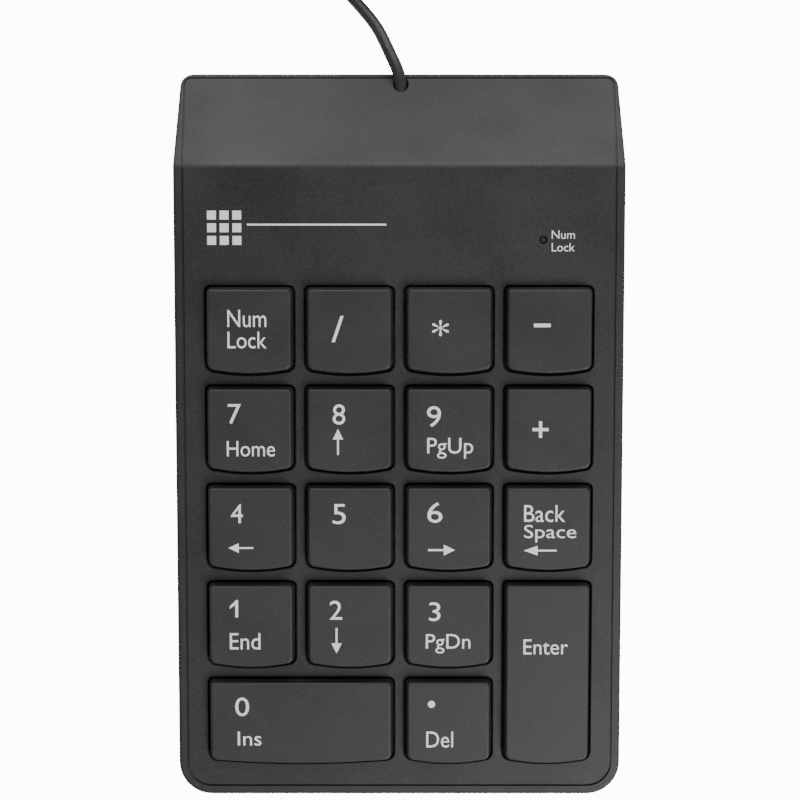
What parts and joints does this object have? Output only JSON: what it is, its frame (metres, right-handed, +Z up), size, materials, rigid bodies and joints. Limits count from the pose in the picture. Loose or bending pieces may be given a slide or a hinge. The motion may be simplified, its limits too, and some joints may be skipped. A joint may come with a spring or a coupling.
{
  "type": "numeric keypad",
  "caption": "Wired desktop numeric keypad: a wedge case with island keys that press in on rubber domes, and a coiled USB lead.",
  "frame": {"origin": "centre of the keypad's footprint at desk level, under the rubber feet, leaving the lead out", "axes": "+X towards the user's right, +Y towards the rear edge where the lead leaves, +Z up"},
  "size_m": [0.086, 0.2041, 0.0239],
  "materials": {
    "case_top": "fine matte grain",
    "case_bottom": "matte",
    "key_plastic": "fine matte grain with pale printed legends",
    "dome_silicone": "translucent silicone",
    "membrane_film": "clear film with silver tracks",
    "plate_steel": "zinc plated",
    "screw_steel": "zinc plated",
    "bright_metal": "plated",
    "board_laminate": "solder mask",
    "chip_epoxy": "satin",
    "clear_plastic": "clear",
    "white_nylon": "satin",
    "black_rubber": "matte",
    "label_stock": "blank satin sticker",
    "cord_jacket": "satin",
    "plug_grip": "satin"
  },
  "bodies": {
    "base": {"top_case": "case_top", "bottom_case": "case_bottom", "rubber_dome_sheet": "dome_silicone", "top_membrane": "membrane_film", "spacer_membrane": "membrane_film", "bottom_membrane": "membrane_film", "backing_plate": "plate_steel", "controller_board": "board_laminate", "controller_chip": "chip_epoxy", "crystal_can": "bright_metal", "filter_capacitor": "chip_epoxy", "lead_connector": "white_nylon", "num_lock_led": "clear_plastic", "light_pipe": "clear_plastic", "clamp_strip": "black_rubber", "membrane_clamp_bar": "plate_steel", "clamp_screw_1": "screw_steel", "clamp_screw_2": "screw_steel", "clamp_screw_3": "screw_steel", "case_screw_1": "screw_steel", "case_screw_2": "screw_steel", "case_screw_3": "screw_steel", "case_screw_4": "screw_steel", "case_screw_5": "screw_steel", "case_screw_6": "screw_steel", "rubber_foot_1": "black_rubber", "rubber_foot_2": "black_rubber", "rubber_foot_3": "black_rubber", "rubber_foot_4": "black_rubber", "blank_label": "label_stock", "inner_lead": "cord_jacket", "usb_cord": "cord_jacket", "cord_coil": "cord_jacket", "usb_cord_end": "cord_jacket", "coil_tie": "cord_jacket", "plug_overmould": "plug_grip", "plug_shell": "bright_metal", "plug_tongue": "white_nylon"},
    "key_num_lock": {"key_num_lock": "key_plastic"},
    "key_divide": {"key_divide": "key_plastic"},
    "key_multiply": {"key_multiply": "key_plastic"},
    "key_minus": {"key_minus": "key_plastic"},
    "key_7": {"key_7": "key_plastic"},
    "key_8": {"key_8": "key_plastic"},
    "key_9": {"key_9": "key_plastic"},
    "key_plus": {"key_plus": "key_plastic"},
    "key_4": {"key_4": "key_plastic"},
    "key_5": {"key_5": "key_plastic"},
    "key_6": {"key_6": "key_plastic"},
    "key_backspace": {"key_backspace": "key_plastic"},
    "key_1": {"key_1": "key_plastic"},
    "key_2": {"key_2": "key_plastic"},
    "key_3": {"key_3": "key_plastic"},
    "key_enter": {"key_enter": "key_plastic"},
    "key_0": {"key_0": "key_plastic"},
    "key_decimal": {"key_decimal": "key_plastic"},
    "zero_stabiliser_wire": {"zero_stabiliser_wire": "screw_steel"},
    "enter_stabiliser_wire": {"enter_stabiliser_wire": "screw_steel"}
  },
  "joints": [
    {"name": "press_num_lock", "type": "slide", "parent": "base", "child": "key_num_lock", "axis": [0, 0.1132, -0.9936], "range_m": [0, 0.002], "stiffness_N_per_m": 250, "springref_m": -0.001, "deforming": ["rubber_dome_sheet"]},
    {"name": "press_divide", "type": "slide", "parent": "base", "child": "key_divide", "axis": [0, 0.1132, -0.9936], "range_m": [0, 0.002], "stiffness_N_per_m": 250, "springref_m": -0.001, "deforming": ["rubber_dome_sheet"]},
    {"name": "press_multiply", "type": "slide", "parent": "base", "child": "key_multiply", "axis": [0, 0.1132, -0.9936], "range_m": [0, 0.002], "stiffness_N_per_m": 250, "springref_m": -0.001, "deforming": ["rubber_dome_sheet"]},
    {"name": "press_minus", "type": "slide", "parent": "base", "child": "key_minus", "axis": [0, 0.1132, -0.9936], "range_m": [0, 0.002], "stiffness_N_per_m": 250, "springref_m": -0.001, "deforming": ["rubber_dome_sheet"]},
    {"name": "press_7", "type": "slide", "parent": "base", "child": "key_7", "axis": [0, 0.1132, -0.9936], "range_m": [0, 0.002], "stiffness_N_per_m": 250, "springref_m": -0.001, "deforming": ["rubber_dome_sheet"]},
    {"name": "press_8", "type": "slide", "parent": "base", "child": "key_8", "axis": [0, 0.1132, -0.9936], "range_m": [0, 0.002], "stiffness_N_per_m": 250, "springref_m": -0.001, "deforming": ["rubber_dome_sheet"]},
    {"name": "press_9", "type": "slide", "parent": "base", "child": "key_9", "axis": [0, 0.1132, -0.9936], "range_m": [0, 0.002], "stiffness_N_per_m": 250, "springref_m": -0.001, "deforming": ["rubber_dome_sheet"]},
    {"name": "press_plus", "type": "slide", "parent": "base", "child": "key_plus", "axis": [0, 0.1132, -0.9936], "range_m": [0, 0.002], "stiffness_N_per_m": 250, "springref_m": -0.001, "deforming": ["rubber_dome_sheet"]},
    {"name": "press_4", "type": "slide", "parent": "base", "child": "key_4", "axis": [0, 0.1132, -0.9936], "range_m": [0, 0.002], "stiffness_N_per_m": 250, "springref_m": -0.001, "deforming": ["rubber_dome_sheet"]},
    {"name": "press_5", "type": "slide", "parent": "base", "child": "key_5", "axis": [0, 0.1132, -0.9936], "range_m": [0, 0.002], "stiffness_N_per_m": 250, "springref_m": -0.001, "deforming": ["rubber_dome_sheet"]},
    {"name": "press_6", "type": "slide", "parent": "base", "child": "key_6", "axis": [0, 0.1132, -0.9936], "range_m": [0, 0.002], "stiffness_N_per_m": 250, "springref_m": -0.001, "deforming": ["rubber_dome_sheet"]},
    {"name": "press_backspace", "type": "slide", "parent": "base", "child": "key_backspace", "axis": [0, 0.1132, -0.9936], "range_m": [0, 0.002], "stiffness_N_per_m": 250, "springref_m": -0.001, "deforming": ["rubber_dome_sheet"]},
    {"name": "press_1", "type": "slide", "parent": "base", "child": "key_1", "axis": [0, 0.1132, -0.9936], "range_m": [0, 0.002], "stiffness_N_per_m": 250, "springref_m": -0.001, "deforming": ["rubber_dome_sheet"]},
    {"name": "press_2", "type": "slide", "parent": "base", "child": "key_2", "axis": [0, 0.1132, -0.9936], "range_m": [0, 0.002], "stiffness_N_per_m": 250, "springref_m": -0.001, "deforming": ["rubber_dome_sheet"]},
    {"name": "press_3", "type": "slide", "parent": "base", "child": "key_3", "axis": [0, 0.1132, -0.9936], "range_m": [0, 0.002], "stiffness_N_per_m": 250, "springref_m": -0.001, "deforming": ["rubber_dome_sheet"]},
    {"name": "press_enter", "type": "slide", "parent": "base", "child": "key_enter", "axis": [0, 0.1132, -0.9936], "range_m": [0, 0.002], "stiffness_N_per_m": 250, "springref_m": -0.001, "deforming": ["rubber_dome_sheet"]},
    {"name": "press_0", "type": "slide", "parent": "base", "child": "key_0", "axis": [0, 0.1132, -0.9936], "range_m": [0, 0.002], "stiffness_N_per_m": 250, "springref_m": -0.001, "deforming": ["rubber_dome_sheet"]},
    {"name": "press_decimal", "type": "slide", "parent": "base", "child": "key_decimal", "axis": [0, 0.1132, -0.9936], "range_m": [0, 0.002], "stiffness_N_per_m": 250, "springref_m": -0.001, "deforming": ["rubber_dome_sheet"]},
    {"name": "zero_wire_turn", "type": "hinge", "parent": "base", "child": "zero_stabiliser_wire", "pos_m": [-0.01905, -0.05754, 0.008], "axis": [-1, 0, 0], "range_deg": [0, 14.4]},
    {"name": "enter_wire_turn", "type": "hinge", "parent": "base", "child": "enter_stabiliser_wire", "pos_m": [0.03068, -0.04599, 0.00932], "axis": [0, -0.9936, -0.1132], "range_deg": [0, 14.4]}
  ],
  "couplings": [
    {"joint": "zero_wire_turn", "follows": "press_0", "rad_per_m": 125},
    {"joint": "enter_wire_turn", "follows": "press_enter", "rad_per_m": 125}
  ]
}
